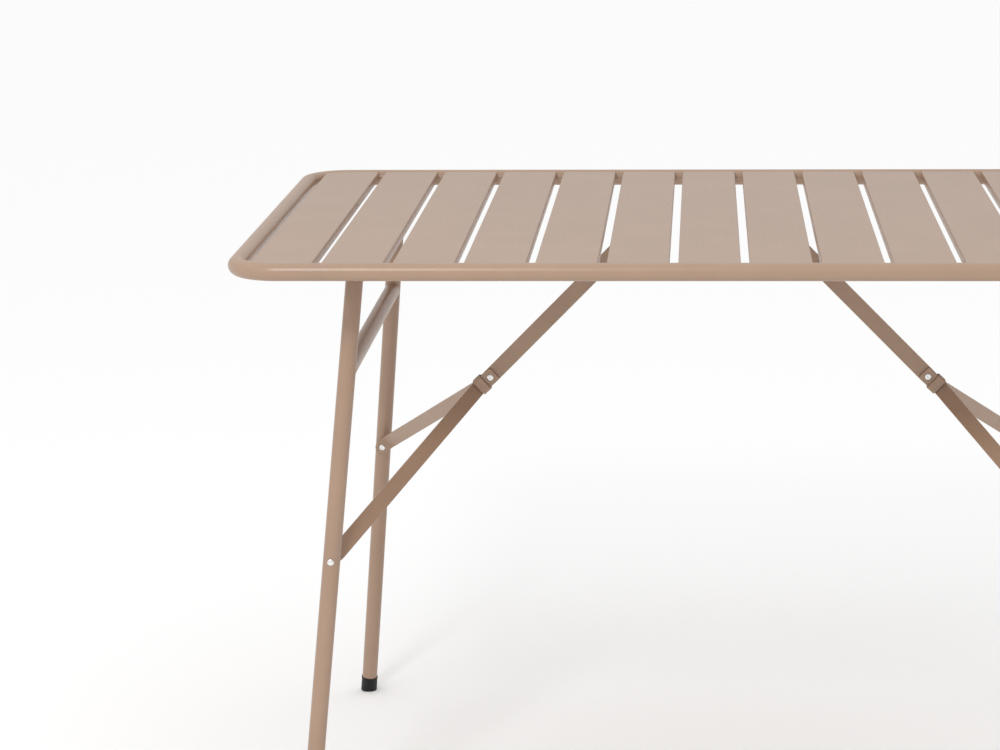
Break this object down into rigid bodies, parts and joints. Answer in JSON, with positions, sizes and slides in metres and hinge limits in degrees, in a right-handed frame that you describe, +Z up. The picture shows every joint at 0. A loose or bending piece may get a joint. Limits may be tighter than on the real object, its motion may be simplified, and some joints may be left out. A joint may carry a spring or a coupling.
{
  "type": "folding picnic table",
  "caption": "Slatted rectangular table top in a rounded tubular rim, on splayed tube leg frames that fold flat under it, each held by a hinged strap brace.",
  "frame": {"origin": "on the floor under the middle of the table top, at the foot level", "axes": "+X along the top's length, +Y across it from the front rail to the back rail, +Z up"},
  "size_m": [1.1256, 0.75, 0.7514],
  "materials": {
    "powder_coat": "matte",
    "foot_plastic": "matte",
    "zinc": "satin"
  },
  "bodies": {
    "top": {"rim_frame": "powder_coat", "slat_01": "powder_coat", "slat_02": "powder_coat", "slat_03": "powder_coat", "slat_04": "powder_coat", "slat_05": "powder_coat", "slat_06": "powder_coat", "slat_07": "powder_coat", "slat_08": "powder_coat", "slat_09": "powder_coat", "slat_10": "powder_coat", "slat_11": "powder_coat", "slat_12": "powder_coat", "slat_13": "powder_coat", "left_front_leg_bracket": "powder_coat", "left_front_leg_pin": "zinc", "left_back_leg_bracket": "powder_coat", "left_back_leg_pin": "zinc", "left_brace_bracket": "powder_coat", "left_brace_pin": "zinc", "right_front_leg_bracket": "powder_coat", "right_front_leg_pin": "zinc", "right_back_leg_bracket": "powder_coat", "right_back_leg_pin": "zinc", "right_brace_bracket": "powder_coat", "right_brace_pin": "zinc"},
    "left_leg_frame": {"left_front_leg": "powder_coat", "left_back_leg": "powder_coat", "left_crossbar": "powder_coat", "left_front_foot_cap": "foot_plastic", "left_back_foot_cap": "foot_plastic", "left_leg_rivets": "zinc"},
    "left_upper_brace": {"left_upper_strap": "powder_coat"},
    "left_lower_brace": {"left_front_lower_strap": "powder_coat", "left_back_lower_strap": "powder_coat", "left_knuckle_rivet": "zinc", "left_pad_rivets": "zinc"},
    "left_collar": {"left_lock_collar": "powder_coat"},
    "right_leg_frame": {"right_front_leg": "powder_coat", "right_back_leg": "powder_coat", "right_crossbar": "powder_coat", "right_front_foot_cap": "foot_plastic", "right_back_foot_cap": "foot_plastic", "right_leg_rivets": "zinc"},
    "right_upper_brace": {"right_upper_strap": "powder_coat"},
    "right_lower_brace": {"right_front_lower_strap": "powder_coat", "right_back_lower_strap": "powder_coat", "right_knuckle_rivet": "zinc", "right_pad_rivets": "zinc"},
    "right_collar": {"right_lock_collar": "powder_coat"}
  },
  "joints": [
    {"name": "left_fold", "type": "hinge", "parent": "top", "child": "left_leg_frame", "pos_m": [-0.4216, 0, 0.725], "axis": [0, -1, 0], "range_deg": [0, 95]},
    {"name": "left_upper_pivot", "type": "hinge", "parent": "top", "child": "left_upper_brace", "pos_m": [-0.0955, -0.004, 0.725], "axis": [0, -1, 0], "range_deg": [0, 135.25]},
    {"name": "left_knuckle", "type": "hinge", "parent": "left_upper_brace", "child": "left_lower_brace", "pos_m": [-0.2805, -0.004, 0.53774], "axis": [0, -1, 0], "range_deg": [-177.49, 0]},
    {"name": "left_collar_slide", "type": "slide", "parent": "left_lower_brace", "child": "left_collar", "axis": [0.7287, 0, 0.6848], "range_m": [0, 0.018]},
    {"name": "right_fold", "type": "hinge", "parent": "top", "child": "right_leg_frame", "pos_m": [0.4216, 0, 0.725], "axis": [0, 1, 0], "range_deg": [0, 91.7]},
    {"name": "right_upper_pivot", "type": "hinge", "parent": "top", "child": "right_upper_brace", "pos_m": [0.0955, 0.004, 0.725], "axis": [0, 1, 0], "range_deg": [0, 130.62]},
    {"name": "right_knuckle", "type": "hinge", "parent": "right_upper_brace", "child": "right_lower_brace", "pos_m": [0.2805, 0.004, 0.53774], "axis": [0, 1, 0], "range_deg": [-173.11, 0]},
    {"name": "right_collar_slide", "type": "slide", "parent": "right_lower_brace", "child": "right_collar", "axis": [-0.7287, 0, 0.6848], "range_m": [0, 0.018]}
  ],
  "couplings": [
    {"joint": "left_upper_pivot", "follows": "left_fold", "ratio": 1.4232},
    {"joint": "left_knuckle", "follows": "left_fold", "ratio": -1.8678},
    {"joint": "right_upper_pivot", "follows": "right_fold", "ratio": 1.4239},
    {"joint": "right_knuckle", "follows": "right_fold", "ratio": -1.8872}
  ]
}
